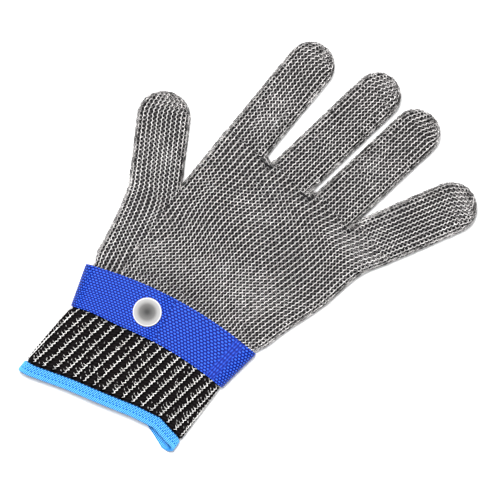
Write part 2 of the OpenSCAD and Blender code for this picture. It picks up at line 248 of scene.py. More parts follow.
def mesh_object(name, vertices, quads, material, caps=()):
    """A mesh object from millimetre vertices, many quads and a few caps with more corners."""
    quads = np.asarray(quads, np.int32)
    corners = np.concatenate([quads.ravel(), *[np.asarray(cap, np.int32) for cap in caps]])
    sizes = np.array([4] * len(quads) + [len(cap) for cap in caps], np.int32)
    data = bpy.data.meshes.new(name)
    data.vertices.add(len(vertices))
    data.vertices.foreach_set("co", (np.asarray(vertices, np.float32) * MM).ravel())
    data.loops.add(len(corners))
    data.loops.foreach_set("vertex_index", corners)
    data.polygons.add(len(sizes))
    data.polygons.foreach_set("loop_start", (np.cumsum(sizes) - sizes).astype(np.int32))
    data.polygons.foreach_set("use_smooth", sizes == 4)
    data.update(calc_edges=True)
    data.validate()
    data.materials.append(material)
    piece = bpy.data.objects.new(name, data)
    bpy.context.scene.collection.objects.link(piece)
    return piece


def carry_painted_light(piece, values):
    """Stores a value of painted light at each vertex for the material to read."""
    data = piece.data.attributes.new("relief_and_painted_light", "FLOAT", "POINT")
    data.data.foreach_set("value", np.asarray(values, np.float32).ravel())


def grid_quads(rows, columns, wrap=False):
    """Quads of a grid of vertices stored row by row; wrap joins the last column to the first."""
    index = np.arange(rows * columns).reshape(rows, columns)
    right = np.roll(index, -1, axis=1) if wrap else index[:, 1:]
    left = index if wrap else index[:, :-1]
    return np.stack([left[:-1], right[:-1], right[1:], left[1:]], axis=-1).reshape(-1, 4)


def unit(vectors):
    return vectors / np.linalg.norm(vectors, axis=-1, keepdims=True)


def soft(share):
    """A smooth step from 0 to 1 as share goes from 0 to 1."""
    share = np.clip(share, 0, 1)
    return share * share * (3 - 2 * share)


def lift(plan, z):
    """Points in space from plan points and their heights."""
    return np.concatenate([plan, np.asarray(z)[..., None]], axis=-1)


def tube_section(s, flat, radius):
    """Offset across, height and outward normal at distances s round a flattened tube.

    The distances start at the left end of the upper flat and go to the right.
    """
    s = np.asarray(s, float)
    half_turn = math.pi * radius
    zones = [s < flat, s < flat + half_turn, s < 2 * flat + half_turn]
    middle = np.select(zones, [s - flat / 2, flat / 2, 1.5 * flat + half_turn - s], -flat / 2)
    turn = np.select(zones, [0, (s - flat) / radius, math.pi], (s - 2 * flat) / radius)
    normal = np.stack([np.sin(turn), np.cos(turn)], axis=-1)
    return middle + radius * normal[..., 0], radius * normal[..., 1], normal


# ---------------------------------------------------------------- strap's line

STRAP_MID = np.array([-0.7, -1.3])
STRAP_LEAN = math.radians(11.8)
STRAP_BOW = 234.0
STRAP_W = 28.0
# Left of this the flap, when it opens, uncovers the mesh
UNDERLAP_X = -31.0
# How far the mesh reaches under the strap, and under the flap
UNDER_STRAP = 5
UNDER_FLAP = STRAP_W - 2


def bow_place(angle, radial):
    """Plan position at an angle round the strap's bow, radial from the webbing's middle line."""
    angle, radial = np.broadcast_arrays(angle, radial)
    x = (STRAP_BOW + radial) * np.sin(angle)
    y = (STRAP_BOW + radial) * np.cos(angle) - STRAP_BOW
    c, s = math.cos(STRAP_LEAN), math.sin(STRAP_LEAN)
    return np.stack([STRAP_MID[0] + x * c - y * s, STRAP_MID[1] + x * s + y * c], axis=-1)


def strap_edge(x, upper):
    """Height in Y of the strap's upper or lower edge."""
    angles = np.linspace(-0.3, 0.3, 61)
    line = bow_place(angles, STRAP_W / 2 if upper else -STRAP_W / 2)
    return np.interp(x, line[:, 0], line[:, 1])


# ---------------------------------------------------------------- hand geometry

class Finger:
    """A finger's place, read from its joints and from the corners of its mail sleeves."""

    def __init__(self, name, sleeves):
        self.bodies = [f"{name}_{sleeve}" for sleeve in sleeves]
        joints = [j for j in frame["joints"] if j["child"] in self.bodies]
        joints.sort(key=lambda j: self.bodies.index(j["child"]))
        places = [np.array(j["pos_m"][:2]) / MM for j in joints]
        self.root = places[0]
        self.along = unit(places[-1] - places[0])
        self.across = np.array([self.along[1], -self.along[0]])
        axis = np.array(joints[0]["axis"][:2])
        self.joint_along = unit(np.array([-axis[1], axis[0]]))
        self.stations = [float((p - self.root) @ self.along) for p in places]
        tip = frame["nodes"][f"mail_{self.bodies[-1]}"]
        corners = np.array([v.co[:2] for v in tip.data.vertices]) / MM - self.root
        self.length = float((corners @ self.along).max())
        self.half = float(np.abs(corners @ self.across).max())

    def place(self, v, u):
        """Plan position of a point at v along the finger and u across it."""
        return self.root + np.multiply.outer(v, self.along) + np.multiply.outer(u, self.across)

    def past_root(self, points):
        """How far plan points lie past the root joint's line."""
        return (points - self.root) @ self.joint_along


FINGER_SLEEVES = ("base", "middle", "tip")
THUMB = Finger("thumb", ("base", "tip"))
LONG_FINGERS = [Finger(name, FINGER_SLEEVES) for name in ("index", "middle", "ring", "little")]
INDEX, MIDDLE, RING, LITTLE = LONG_FINGERS

# The little finger's side of the palm, as (y, x)
RIGHT_SIDE = np.array([
    (-60, 50), (-20, 51.5), (0, 52.6), (15, 54), (28, 56), (40, 58.7), (50, 62), (60, 65.3),
    (72, 67.8), (84, 69.2), (95, 72), (104, 77.3), (110, 81.5)
])
# The thumb's side of the palm leans less and less towards the wrist
THUMB_LEAN = math.atan2(THUMB.along[0], THUMB.along[1])
WRIST_LEAN = math.radians(-8)
LEAN_LENGTH = 22.0
THUMB_FLARE = 2.5
# Where the hand's left side starts, as a station along the thumb
LEFT_FOOT = -78.0
CROTCH = THUMB.place(1.9, THUMB.half)
# The seam between the thumb's mesh and the palm's, from the crotch to the wrist
SEAM_FOOT = np.array([-35.0, -20.0])
LEFT_X = float(INDEX.place(0, -INDEX.half)[0])
# Where the gap between the index and the middle finger ends, a little below their roots
INDEX_CROTCH = np.array([-9.9, 108.4])


def right_x(y):
    """The palm's right side, smoothed."""
    steps = np.linspace(-5, 5, 7)
    return np.mean([np.interp(np.asarray(y) + step, *RIGHT_SIDE.T) for step in steps], axis=0)


def seam_x(y):
    share = (CROTCH[1] - np.asarray(y)) / (CROTCH[1] - SEAM_FOOT[1])
    return CROTCH[0] + (SEAM_FOOT[0] - CROTCH[0]) * share


def thumb_spine():
    """Stations v, places, leans and half widths of the thumb's middle line, from the wrist to its tip."""
    step = 0.5
    v = np.arange(-96.0, THUMB.length + 1, step)
    gone = 1 - np.exp(np.minimum(v, 0) / LEAN_LENGTH)
    lean = THUMB_LEAN + (WRIST_LEAN - THUMB_LEAN) * gone
    places = np.cumsum(np.stack([np.sin(lean), np.cos(lean)], axis=-1) * step, axis=0)
    places = places - places[int(np.argmin(np.abs(v)))] + THUMB.root
    return v, places, lean, THUMB.half + THUMB_FLARE * gone


SPINE_V, SPINE_PLACES, SPINE_LEAN, SPINE_HALF = thumb_spine()


def thumb_place(v, u):
    """Plan position on the thumb's strip, and the directions along and across it there."""
    x = np.interp(v, SPINE_V, SPINE_PLACES[:, 0])
    y = np.interp(v, SPINE_V, SPINE_PLACES[:, 1])
    lean = np.interp(v, SPINE_V, SPINE_LEAN)
    along = np.stack([np.sin(lean), np.cos(lean)], axis=-1)
    across = np.stack([along[..., 1], -along[..., 0]], axis=-1)
    return np.stack([x, y], axis=-1) + np.asarray(u)[..., None] * across, along, across


def in_gap(plan):
    """Whether plan points lie in the end of the gap between the index and the middle finger."""
    left = INDEX.place(1.0, INDEX.half) - INDEX_CROTCH
    right = MIDDLE.place(1.0, -MIDDLE.half) - INDEX_CROTCH
    out = plan - INDEX_CROTCH
    right_of_index = left[1] * out[..., 0] - left[0] * out[..., 1] > 0
    left_of_middle = right[1] * out[..., 0] - right[0] * out[..., 1] < 0
    return right_of_index & left_of_middle & (out[..., 1] > 0)


def clear_of_gap(finger, v, u):
    """Offsets across a finger at station v, held back from the gap beside the index finger."""
    out = INDEX_CROTCH - finger.root
    gap_v, gap_u = float(out @ finger.along), float(out @ finger.across)
    if not gap_v < v < 1 or finger not in (INDEX, MIDDLE):
        return u
    side = 1 if finger is INDEX else -1
    limit = abs(gap_u) + (finger.half - abs(gap_u)) * (v - gap_v) / (1 - gap_v) - 1.5
    return side * np.minimum(side * u, limit)


def tip_arc(finger):
    turn = np.linspace(math.pi / 2, -math.pi / 2, 15)
    centre = finger.length - finger.half
    return finger.place(centre + finger.half * np.cos(turn), -finger.half * np.sin(turn))


def left_side(v):
    """The hand's left side at stations along the thumb."""
    return thumb_place(v, -np.interp(v, SPINE_V, SPINE_HALF))[0]


def silhouette():
    """The hand's outline seen from above, as one open line from the left of the wrist to its right."""
    points = [left_side(np.arange(LEFT_FOOT, THUMB.length - THUMB.half, 4)), tip_arc(THUMB), [CROTCH]]
    for finger in LONG_FINGERS:
        start = 1.0 if finger is not LITTLE else 3.5
        points += [[finger.place(start, -finger.half)], tip_arc(finger), [finger.place(1.0, finger.half)]]
        if finger is INDEX:
            points.append([INDEX_CROTCH])
    y = np.arange(104, -60, -6)
    points.append(np.stack([right_x(y), y], axis=-1))
    return np.vstack(points)


OUTLINE = silhouette()


def inset(points):
    """Distance from plan points to the outline."""
    start, end = OUTLINE[:-1], OUTLINE[1:]
    line = end - start
    flat = points.reshape(-1, 2)
    best = np.full(len(flat), 1e9)
    for s, d in zip(start, line):
        t = np.clip(((flat - s) @ d) / (d @ d), 0, 1)
        best = np.minimum(best, np.linalg.norm(flat - s - t[:, None] * d, axis=1))
    return best.reshape(points.shape[:-1])


def ripple(points):
    """Slow unevenness of the mesh's lie, from about -1 to 1."""
    x, y = points[..., 0], points[..., 1]
    return (np.sin(x / 9 + 1.3 * np.sin(y / 17)) + np.sin(y / 12 + 0.9 * np.sin(x / 13 + 2))
            + np.sin((x + y) / 7.5)) / 3


def press(points):
    """How much of its thickness the hand keeps near the strap, which pulls it in."""
    above = points[..., 1] - strap_edge(points[..., 0], True)
    return 1 - STRAP_PRESS * (1 - soft((above + 1) / 11))


def height(points, depth=0.0):
    """Half thickness of the hand at a plan point, less a depth below the mesh, without the crown."""
    r = EDGE_R * press(points) - depth
    d = np.clip(inset(points) - depth, 0, r)
    return np.sqrt(np.clip(r * r - (r - d) ** 2, 0, None))


def under_strap(points, left_reach=UNDER_FLAP):
    """Whether the mesh reaches a plan point near the strap: a little way under it, further at the flap."""
    x, y = points[..., 0], points[..., 1]
    reach = np.where(x < UNDERLAP_X, left_reach, UNDER_STRAP)
    return y > strap_edge(x, True) - reach


def drape(points):
    """Plan points shifted as the mesh shifts where it lies slack, away from every edge and seam."""
    x, y = points[..., 0], points[..., 1]
    slack = soft((inset(points) - EDGE_R) / 12) * soft((106 - y) / 14)
    slack = slack * soft((y - strap_edge(x, True)) / 12)
    slack = slack * np.where(y < 72, soft(np.abs(x - seam_x(y)) / 10), 1)
    across = 1.2 * np.sin(y / 13 + x / 21) + 0.6 * np.sin(y / 7.1 + 1.7)
    along = 1.0 * np.sin(x / 15 + y / 23 + 1) + 0.4 * np.sin(x / 6.3)
    return points + np.stack([slack * across, slack * along], axis=-1)


def crown(points):
    """How far the palm side stands above its flat lie."""
    d = np.clip((inset(points) - EDGE_R) / 25, 0, 1)
    wrist = soft((points[..., 1] - strap_edge(points[..., 0], True) - 2) / 24)
    return (CROWN * soft(d) + 0.5 * ripple(points) * np.clip(d * 4, 0, 1)) * wrist


# ---------------------------------------------------------------- ring mail

def unit_ring():
    """A ring in the XY plane: vertices and quads."""
    around = np.arange(RING_SEGMENTS) * 2 * math.pi / RING_SEGMENTS
    section = (np.arange(WIRE_SIDES) + 0.5) * 2 * math.pi / WIRE_SIDES
    middle = (RING_OD - WIRE) / 2
    a, s = np.meshgrid(around, section, indexing="ij")
    radius = middle + WIRE / 2 * np.cos(s)
    vertices = np.stack([radius * np.cos(a), radius * np.sin(a), WIRE / 2 * np.sin(s)], axis=-1)
    here = np.arange(RING_SEGMENTS * WIRE_SIDES).reshape(RING_SEGMENTS, WIRE_SIDES)
    ahead = np.roll(here, -1, axis=0)
    quads = np.stack([here, ahead, np.roll(ahead, -1, axis=1), np.roll(here, -1, axis=1)], axis=-1)
    return vertices.reshape(-1, 3), quads.reshape(-1, 4)


class Rings:
    """Places for rings, gathered a column at a time: centre, column's direction, outward normal, lean."""

    def __init__(self):
        self.parts = []

    def add(self, centre, along, normal, sign):
        count = len(centre)
        self.parts.append([centre, np.broadcast_to(along, (count, 3)), np.broadcast_to(normal, (count, 3)),
                           np.broadcast_to(sign, count)])

    def all(self):
        return [np.concatenate([part[i] for part in self.parts]) for i in range(4)]


def ring_piece(name, places, chosen):
    """One mesh of leaning rings. Each ring has a little play in its place, lean and spin."""
    centre, along, normal, sign = (part[chosen] for part in places)
    count = len(centre)
    base, quads = unit_ring()
    along = unit(along)
    normal = unit(normal - np.sum(normal * along, axis=1, keepdims=True) * along)
    side = np.cross(normal, along)
    slow = np.sin(centre[:, 0] / 11 + centre[:, 1] / 19) + np.sin(centre[:, 1] / 8 - centre[:, 0] / 27)
    lean = sign * (RING_LEAN + 0.1 * slow) + RNG.normal(0, LEAN_PLAY, count)
    facing = np.cos(lean)[:, None] * normal + np.sin(lean)[:, None] * side
    facing = unit(facing + RNG.normal(0, LEAN_PLAY, (count, 1)) * along)
    first = unit(along - np.sum(along * facing, axis=1, keepdims=True) * facing)
    centre = centre + RNG.normal(0, PLACE_PLAY, (count, 3))
    axes = np.stack([first, np.cross(facing, first), facing], axis=1)
    out = np.einsum("vi,rik->rvk", base, axes)
    faces = quads[None] + (np.arange(count) * len(base))[:, None, None]
    piece = mesh_object(name, (centre[:, None] + out).reshape(-1, 3), faces.reshape(-1, 4), STEEL)
    # Painted light on the rings: painted shade on the lower part of each ring and where the mesh stands on
    # edge, a painted highlight on the ring tops, plus random wear
    rise = np.einsum("rvk,rk->rv", out, normal) / (RING_OD / 2 * math.sin(RING_LEAN))
    flatness = np.abs(normal[:, 2:3])
    edge_shade = EDGE_SHADE_TONE + (1 - EDGE_SHADE_TONE) * flatness
    wear = RNG.normal(0, WEAR, (count, 1)) * (1 + EDGE_WEAR * (1 - flatness))
    carry_painted_light(piece, edge_shade * (DEEP_SHADE_TONE + (1 - DEEP_SHADE_TONE) * soft(0.5 + 0.5 * rise)) + wear)
    return piece


def rim_columns():
    """Angles above mid-thickness and leans of the columns round an edge."""
    turn = math.pi / 2 - (np.arange(RIM_COLUMNS) + 0.5) * math.pi / RIM_COLUMNS
    return turn, -((-1.0) ** np.arange(RIM_COLUMNS))


def stagger(rows, sign):
    """Rows of one column: those that lean one way stand half a pitch along from their neighbours."""
    return rows + (PITCH_ALONG / 2 if sign < 0 else 0)


def flat_columns(width):
    """Offsets and leans of an odd number of columns across a flat of some width."""
    count = max(1, int(round(width / PITCH_ACROSS)))
    count += 1 - count % 2
    return (np.arange(count) + 0.5) / count - 0.5, (-1.0) ** np.arange(count)


def finger_rings(finger, rings):
    """The straight length of a finger, then its tip, where each row has fewer rings than the one before."""
    flat = finger.half - EDGE_R
    start = -4.0 if finger is LITTLE else 0.6
    end = finger.length - finger.half
    rows = np.arange(start, end, PITCH_ALONG)
    place = finger.place if finger is not THUMB else lambda v, u: thumb_place(v, u)[0]
    along = np.array([*finger.along, 0])
    across = np.array([*finger.across, 0])
    for offset, sign in zip(*flat_columns(2 * flat)):
        v = stagger(rows, sign)
        u = offset * 2 * flat
        slack = soft((v - 3) / 6) * soft((end - 2 - v) / 6)
        v = v + slack * (0.5 * np.sin(u / 3 + v / 9) + 0.3 * np.sin(v / 4 - u / 5))
        plan = place(v, np.full_like(v, u))
        for face in (1, -1):
            z = MID_Z + face * height(plan) + (0.4 * ripple(plan) if face > 0 else 0)
            rings.add(lift(plan, z), along, [0, 0, face], sign)
    for turn, sign in zip(*rim_columns()):
        v = stagger(rows, sign)
        z = np.full_like(v, MID_Z + EDGE_R * math.sin(turn))
        for side in (-1, 1):
            plan = place(v, np.full_like(v, side * (flat + EDGE_R * math.cos(turn))))
            normal = side * math.cos(turn) * across + np.array([0, 0, math.sin(turn)])
            rings.add(lift(plan, z), along, normal, sign)
    tip_rings(finger, rings, rows[-1] + PITCH_ALONG - end)


def tip_section(finger, beta, share):
    """The rounded tip at beta, 0 at the straight part and a quarter turn at the end; share goes round.

    Gives the distance along, the offsets across, the heights and the way round.
    """
    t, width = finger.half * math.sin(beta), finger.half * math.cos(beta)
    deep = max(0.0, t - (finger.half - EDGE_R)) / EDGE_R
    thick = EDGE_R * math.sqrt(max(0.0, 1 - deep * deep))
    if width < EDGE_R:
        thick = min(thick, width)
    flat = 2 * max(width - thick, 0)
    lap = 2 * flat + 2 * math.pi * thick
    u, z, _ = tube_section(np.asarray(share) % 1.0 * lap, flat, thick)
    return t, u, z, lap


def tip_point(finger, beta, share):
    t, u, z, _ = tip_section(finger, beta, share)
    return lift(finger.place(finger.length - finger.half + t, u), MID_Z + z)


def tip_rings(finger, rings, first):
    """Rows round the tip, each with an even number of rings spaced as on the rest of the finger."""
    # About how far it is over the tip, between the way over its middle and that round its side
    path = 0.5 * (finger.half + EDGE_R + (finger.half - EDGE_R) * 0.64) * math.pi / 2
    centre = np.array([*finger.place(finger.length - finger.half, 0), MID_Z])
    row, small = first, 1e-3
    while row < path - 0.6:
        beta = row / path * math.pi / 2
        lap = tip_section(finger, beta, 0)[3]
        count = max(4, 2 * int(round(lap / PITCH_ACROSS / 2)))
        for k in range(count):
            share = (k + 0.5) / count
            sign = (-1.0) ** k
            b = min(stagger(row, sign) / path * math.pi / 2, math.pi / 2 - 0.02)
            here = tip_point(finger, b, share)
            along = tip_point(finger, b + small, share) - tip_point(finger, b - small, share)
            side = tip_point(finger, b, share + small) - tip_point(finger, b, share - small)
            normal = np.cross(side, along)
            normal = unit(normal * np.sign(normal @ (here - centre)))
            rings.add(here[None], unit(along), normal, sign)
        row += PITCH_ALONG


def web_edges():
    """The edges of the mesh between the roots of neighbouring fingers, as pairs of plan points."""
    return [(INDEX.place(1.0, INDEX.half), INDEX_CROTCH),
            (INDEX_CROTCH, MIDDLE.place(1.0, -MIDDLE.half)),
            (MIDDLE.place(0.8, MIDDLE.half - 1), RING.place(0.8, -RING.half + 1)),
            (RING.place(0.8, RING.half - 1), LITTLE.place(2.5, -LITTLE.half + 1))]


def in_web(plan):
    """Whether plan points lie in the small triangles between the roots of the last three fingers."""
    inside = np.zeros(plan.shape[:-1], bool)
    for start, end in web_edges()[2:]:
        along = unit(end - start)
        out = plan - start
        ahead, beyond = out @ along, out @ np.array([-along[1], along[0]])
        inside |= (ahead > -1) & (ahead < np.linalg.norm(end - start) + 1) & (beyond > -6) & (beyond < 0)
    return inside


def surface(plan, face):
    """Height of the mesh above the floor at plan points, on its upper (1) or lower (-1) face."""
    return MID_Z + face * height(plan) + (crown(plan) if face > 0 else 0)


def palm_rings(rings):
    """The palm's columns run from the wrist to the knuckles and fan a little to the right."""
    rows = np.arange(-16 - 4 * PITCH_ALONG, 124, PITCH_ALONG)
    left = LEFT_X + EDGE_R
    mean_width = float(np.mean(right_x(np.arange(0, 100, 10)))) - EDGE_R - left

    def slope(plan):
        return right_x(plan[:, 1] + 1) - right_x(plan[:, 1])

    def add(x, y, sign, mask):
        plan = drape(np.stack([x, y], axis=-1)[mask])
        ones, zeros = np.ones(len(plan)), np.zeros(len(plan))
        fan = slope(plan) * np.clip((plan[:, 0] - left) / 100, 0, 1)
        for face in (1, -1):
            z = surface(plan, face)
            along = np.stack([fan, ones, surface(plan + [0, 1], face) - z], axis=-1)
            side = np.stack([ones, zeros, 2 * (surface(plan + [0.5, 0], face) - z)], axis=-1)
            rings.add(lift(plan, z), along, face * np.cross(side, along), sign)

    def in_palm(x, y):
        plan = np.stack([x, y], axis=-1)
        keep = (x > seam_x(y) + 0.3) | (y > CROTCH[1])
        for finger in LONG_FINGERS:
            beyond = finger.past_root(plan) > -0.15 * PITCH_ALONG
            reach = np.where(in_web(plan), -0.3, 4)
            beside = np.abs((plan - finger.root) @ finger.across) < finger.half + reach
            keep &= ~(beyond & beside)
        return keep & ~in_gap(plan) & under_strap(plan) & (y < 119)

    for offset, sign in zip(*flat_columns(mean_width)):
        y = stagger(rows, sign)
        x = left + (offset + 0.5) * (right_x(y) - EDGE_R - left)
        add(x, y, sign, in_palm(x, y))
    for step in range(LEFT_COLUMNS):
        sign = -((-1.0) ** step)
        y = stagger(rows, sign)
        x = np.full_like(y, left - (step + 0.5) * PITCH_ACROSS)
        add(x, y, sign, in_palm(x, y) & (y < CROTCH[1]))
    for turn, sign in zip(*rim_columns()):
        y = stagger(rows, sign)
        for side in (-1, 1):
            edge = right_x(y) - EDGE_R if side > 0 else np.full_like(y, left)
            keep = in_palm(edge, y) & ((side > 0) | (y > CROTCH[1] - 1))
            tight = EDGE_R * press(np.stack([edge, y], axis=-1))
            plan = np.stack([edge + side * tight * math.cos(turn), y], axis=-1)[keep]
            fan = slope(plan) if side > 0 else np.zeros(len(plan))
            along = np.stack([fan, np.ones(len(plan)), np.zeros(len(plan))], axis=-1)
            normal = [side * math.cos(turn), 0, math.sin(turn)]
            rings.add(lift(plan, MID_Z + tight[keep] * math.sin(turn)), along, normal, sign)


def heel_rings(rings):
    """The thumb's strip of the palm: columns that follow the hand's left side, up to the seam."""
    rows = np.arange(0.6 - HEEL_ROWS * PITCH_ALONG, 1.5, PITCH_ALONG)
    flat = THUMB.half - EDGE_R
    offsets, signs = flat_columns(2 * flat)
    beyond = np.arange(SEAM_COLUMNS)
    offsets = np.concatenate([offsets * 2 * flat, flat + (beyond + 0.5) * PITCH_ACROSS])
    signs = np.concatenate([signs, -((-1.0) ** beyond)])

    def flare(v):
        return np.interp(v, SPINE_V, SPINE_HALF) - THUMB.half

    def keep(plan):
        return (plan[:, 0] < seam_x(plan[:, 1])) & (plan[:, 1] < CROTCH[1] + 0.5)

    for u, sign in zip(offsets, signs):
        v = stagger(rows, sign)
        v = v[v < 1.2]
        stretch = np.interp(u, [-flat, flat], [1, 0])
        plan, along, _ = thumb_place(v, u - flare(v) * stretch)
        mask = keep(plan) & under_strap(plan)
        plan, along = drape(plan[mask]), lift(along[mask], np.zeros(mask.sum()))
        for face in (1, -1):
            rings.add(lift(plan, surface(plan, face)), along, [0, 0, face], sign)
    for turn, sign in zip(*rim_columns()):
        v = stagger(rows, sign)
        v = v[v < 0.6]
        tight = EDGE_R * press(thumb_place(v, -(flat + flare(v)))[0])
        plan, along, across = thumb_place(v, -(flat + flare(v) + tight * math.cos(turn)))
        mask = keep(plan) & under_strap(plan, UNDER_STRAP)
        rings.add(lift(plan[mask], MID_Z + tight[mask] * math.sin(turn)),
                  lift(along[mask], np.zeros(mask.sum())),
                  lift(-math.cos(turn) * across[mask], np.full(mask.sum(), math.sin(turn))), sign)


def web_rings(rings):
    """Short rims that close the mesh between the roots of two neighbouring fingers."""
    for start, end in web_edges():
        length = np.linalg.norm(end - start)
        along = (end - start) / length
        outward = np.array([-along[1], along[0]])
        for turn, sign in zip(*rim_columns()):
            if abs(turn) > WEB_TURN:
                continue
            spots = np.arange(stagger(0.4, sign), length, PITCH_ALONG)
            plan = start + spots[:, None] * along + outward * (0.6 + EDGE_R * (math.cos(turn) - 1))
            z = np.full(len(spots), MID_Z + EDGE_R * math.sin(turn))
            normal = [*(outward * math.cos(turn)), math.sin(turn)]
            rings.add(lift(plan, z), [*along, 0], normal, sign)


# ---------------------------------------------------------------- the mail pieces

# How far a blend reaches each way from a finger's middle and tip joints
BEND_REACH = 8.0


def finger_zones(finger):
    """For each piece of a finger: the stations it covers, the two bodies it joins and its blend."""
    stations = finger.stations + [finger.length + 5]
    bodies = ["palm", *finger.bodies]
    zones = []
    low = -1e3
    for number, station in enumerate(finger.stations):
        blend_from = 0.0 if number == 0 else station - BEND_REACH
        blend_to = min(17.0, stations[1] - BEND_REACH - 0.3) if number == 0 else station + BEND_REACH
        high = blend_to + 0.2 if number == 0 else (station + stations[number + 1]) / 2
        if number == len(finger.stations) - 1:
            high = 1e3
        zones.append((low, high, bodies[number], bodies[number + 1], blend_from, blend_to))
        low = high
    return zones


def blend_zone(piece):
    """Bakes a piece's transform into its mesh."""
    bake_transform(piece)


def make_finger_mail(finger):
    rings = Rings()
    finger_rings(finger, rings)
    places = rings.all()
    plan = places[0][:, :2]
    v = (plan - finger.root) @ finger.along
    for number, zone in enumerate(finger_zones(finger)):
        chosen = (finger.past_root(plan) > -0.3) & (v >= zone[0]) & (v < zone[1])
        piece = ring_piece(f"mail_{finger.bodies[number]}_rings", places, chosen)
        blend_zone(piece)
        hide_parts(f"mail_{finger.bodies[number]}")


# The palm's mesh is cut in Y into pieces of a size that the export keeps whole
PALM_ZONES = (("heel", -1e3, 27), ("centre", 27, 68), ("knuckles", 68, 1e3))


def make_palm_mail():
    rings = Rings()
    palm_rings(rings)
    heel_rings(rings)
    web_rings(rings)
    places = rings.all()
    _, y, z = places[0].T
    for face, low_z, high_z in (("palm_side", MID_Z, 1e3), ("back", -1e3, MID_Z)):
        for zone, low_y, high_y in PALM_ZONES:
            chosen = (z >= low_z) & (z < high_z) & (y >= low_y) & (y < high_y)
            piece = ring_piece(f"mail_{face}_{zone}", places, chosen)
            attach(piece, "palm")
            if (face, zone) == ("palm_side", "centre"):
                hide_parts("mail_palm")


# ---------------------------------------------------------------- the liner

# Where each sleeve of the liner starts along its finger, unless at -7
LINER_STARTS = {THUMB: -16, INDEX: -12, LITTLE: -8}


def make_finger_liner(finger):
    """A closed sleeve of dark knit under the rings, in the same zones as the rings."""
    around = 40
    shares = np.arange(around) / around
    narrow, thin = 1 - LINER_DEPTH / finger.half, 1 - LINER_DEPTH / EDGE_R
    end = finger.length - finger.half
    stations = list(np.arange(LINER_STARTS.get(finger, -7), end, 1.5))
    points = []
    _, u, z, _ = tip_section(finger, 0, shares)
    for v in stations:
        plan = finger.place(np.full(around, v), clear_of_gap(finger, v, u * narrow))
        points.append(lift(plan, MID_Z + z * thin))
    for beta in np.linspace(0.05, math.pi / 2 - 0.03, 12):
        t, u, z, _ = tip_section(finger, beta, shares)
        points.append(lift(finger.place(end + t * narrow, u * narrow), MID_Z + z * thin))
        stations.append(end + t)
    points, stations = np.array(points), np.array(stations)
    for number, zone in enumerate(finger_zones(finger)):
        chosen = (stations >= zone[0] - 1.6) & (stations < zone[1] + 0.1)
        part = points[chosen]
        quads = grid_quads(len(part), around, wrap=True)
        piece = mesh_object(f"liner_{finger.bodies[number]}_knit", part.reshape(-1, 3), quads, LINER)
        blend_zone(piece)
        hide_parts(f"liner_{finger.bodies[number]}")


def liner_sides(y):
    """Left and right sides of the liner's hand. Below the crotch its left side is the thumb's strip."""
    strip = left_side(np.arange(LEFT_FOOT, 0.0, 1.0))
    below = np.interp(y, strip[:, 1], strip[:, 0])
    left = below + (LEFT_X - below) * soft((y - CROTCH[1] + 18) / 18)
    right = right_x(y)
    pull = [EDGE_R * (1 - float(press(np.array([x, y])))) for x in (left, right)]
    return left + pull[0] + LINER_DEPTH, right - pull[1] - LINER_DEPTH


def make_palm_liner():
    """The liner's hand, a section at a time from under the strap to the roots of the fingers."""
    around = 32
    share = 0.5 - 0.5 * np.cos(np.linspace(0, math.pi, around))
    rows = np.arange(-12, 114, 2.0)
    points = []
    for y in rows:
        left, right = liner_sides(y)
        if y > INDEX_CROTCH[1] - 1:
            left = INDEX_CROTCH[0] + 8
        plan = np.stack([left + (right - left) * share, np.full(around, y)], axis=-1)
        half = height(plan, LINER_DEPTH)
        top = lift(plan, MID_Z + half + crown(plan))
        bottom = lift(plan, MID_Z - half)[::-1]
        points.append(np.vstack([top, bottom]))
    quads = grid_quads(len(rows), 2 * around, wrap=True)
    piece = mesh_object("liner_palm_knit", np.vstack(points), quads, LINER)
    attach(piece, "palm")
    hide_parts("liner_palm")


# ---------------------------------------------------------------- webbing strap

# Webbing: its thickness, its weave's pitch along and across and depth, and the spacing of its stations
WEBBING_T = 1.5
WEAVE_ALONG = 2.35
WEAVE_ACROSS = 1.6
WEAVE_H = 0.34
WEBBING_STEP = 0.36
# How far the flap stands above the band and drops at its end, and the ends and bends as bow angles
FLAP_LIFT = 3.9
FLAP_DROP = 2.2
FLAP_END = math.radians(0.35)
UNDERLAP_END = math.radians(-8.4)
LEFT_BEND = math.radians(-11.2)
RIGHT_BEND = math.radians(11.15)
# Turn before the top of the left bend at which the flap takes over from the band
FOLD_TURN = 0.45
# How far the strap's ends lie askew, over what length, and the share its lower half narrows at the left
ASKEW_LENGTH = 25.0
LEFT_SKEW = 1.2
RIGHT_SKEW = 1.1
LEFT_TAPER = 0.14
# The sewn place, as bow angles
SEWN = (math.radians(9.4), math.radians(11.3))


def weave(s, w, along, across):
    """Height, from 0 to 1, of a plain weave of short floats laid like bricks."""
    row = np.floor(w / across)
    a = (s / along + 0.5 * np.mod(row, 2)) % 1 - 0.5
    b = (w / across) % 1 - 0.5
    lens = 1 - (np.abs(a) / 0.5) ** 2 - (np.abs(b) / 0.5) ** 2
    return np.clip(lens, 0, 1) ** 0.8


def strap_path(legs):
    """Evenly spaced stations of a path in (distance round the bow, z), with outward normals."""
    line = np.vstack([np.stack(leg, axis=-1) for leg in legs])
    gaps = np.linalg.norm(np.diff(line, axis=0), axis=1)
    line = line[np.concatenate([[True], gaps > 1e-6])]
    length = np.concatenate([[0], np.cumsum(np.linalg.norm(np.diff(line, axis=0), axis=1))])
    s = np.linspace(0, length[-1], int(length[-1] / WEBBING_STEP))
    a, z = np.interp(s, length, line[:, 0]), np.interp(s, length, line[:, 1])
    ahead = unit(np.stack([np.gradient(a), np.gradient(z)], axis=-1))
    return s, a, z, np.stack([-ahead[:, 1], ahead[:, 0]], axis=-1)


